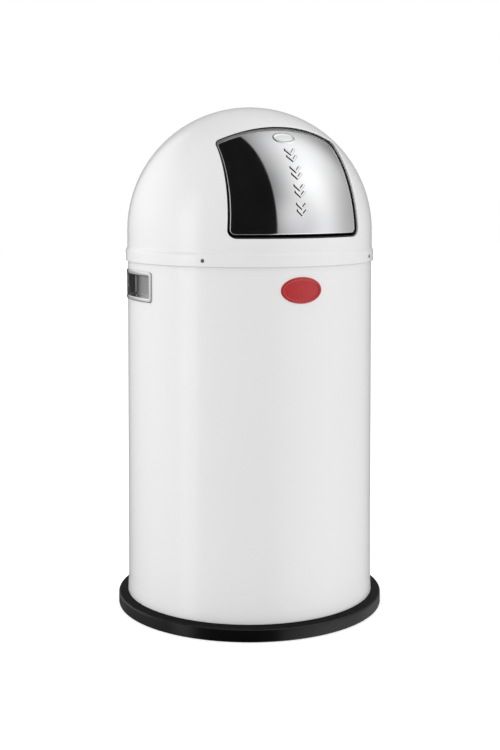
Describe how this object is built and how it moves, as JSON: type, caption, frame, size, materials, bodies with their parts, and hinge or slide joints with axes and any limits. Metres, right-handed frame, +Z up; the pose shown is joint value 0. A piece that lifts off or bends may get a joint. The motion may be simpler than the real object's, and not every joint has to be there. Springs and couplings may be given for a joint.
{
  "type": "push-flap dome waste bin",
  "caption": "Tall round floor-standing waste bin: enamelled steel body on a black base ring, lift-off dome lid with a sprung polished push flap, inner liner with bail.",
  "frame": {"origin": "centre of the base on the floor", "axes": "+Z up, push flap and badge face -Y, carrying grips on -X and +X"},
  "size_m": [0.4011, 0.4012, 0.7542],
  "materials": {
    "white_enamel": "smooth gloss powder coat",
    "black_plastic": "fine satin moulded",
    "black_rubber": "matte",
    "polished_steel": "mirror polished stainless",
    "chrome_cast": "chrome plated casting",
    "red_enamel": "gloss enamel with a pale raised border",
    "zinc_plate": "zinc plated",
    "spring_steel": "bare spring steel",
    "dark_steel": "dark zinc",
    "galvanised_sheet": "galvanised with faint spangle"
  },
  "bodies": {
    "bin_body": {"base_ring": "black_plastic", "body_shell": "white_enamel", "body_floor": "zinc_plate", "badge_plate": "red_enamel", "badge_push_nuts": "spring_steel", "grip_left": "chrome_cast", "grip_right": "chrome_cast", "grip_left_retainer": "spring_steel", "grip_right_retainer": "spring_steel"},
    "dome": {"dome_shell": "white_enamel", "dome_seat_ring": "black_plastic", "collar_screws": "dark_steel", "opening_seal": "black_rubber", "hinge_bracket_left": "zinc_plate", "hinge_bracket_right": "zinc_plate", "hinge_rod": "zinc_plate", "rod_caps": "dark_steel", "return_spring_left": "spring_steel", "return_spring_right": "spring_steel", "flap_buffers": "black_rubber"},
    "flap": {"flap_panel": "polished_steel", "flap_ear_left": "zinc_plate", "flap_ear_right": "zinc_plate", "flap_stop_left": "zinc_plate", "flap_stop_right": "zinc_plate"},
    "liner": {"liner_bucket": "galvanised_sheet", "liner_ear_left": "galvanised_sheet", "liner_ear_right": "galvanised_sheet", "liner_ear_rivets": "zinc_plate"},
    "bail": {"bail_wire": "galvanised_sheet", "bail_grip": "black_plastic"}
  },
  "joints": [
    {"name": "dome_lift", "type": "slide", "parent": "bin_body", "child": "dome", "axis": [0, 0, 1], "range_m": [0, 0.15]},
    {"name": "flap_hinge", "type": "hinge", "parent": "dome", "child": "flap", "pos_m": [0, -0.08, 0.706], "axis": [1, 0, 0], "range_deg": [0, 50], "stiffness_Nm_per_rad": 0.35, "springref_deg": -57.3},
    {"name": "liner_lift", "type": "slide", "parent": "bin_body", "child": "liner", "axis": [0, 0, 1], "range_m": [0, 0.03]},
    {"name": "bail_swing", "type": "hinge", "parent": "liner", "child": "bail", "pos_m": [0, 0, 0.49], "axis": [1, 0, 0], "range_deg": [0, 166]}
  ]
}
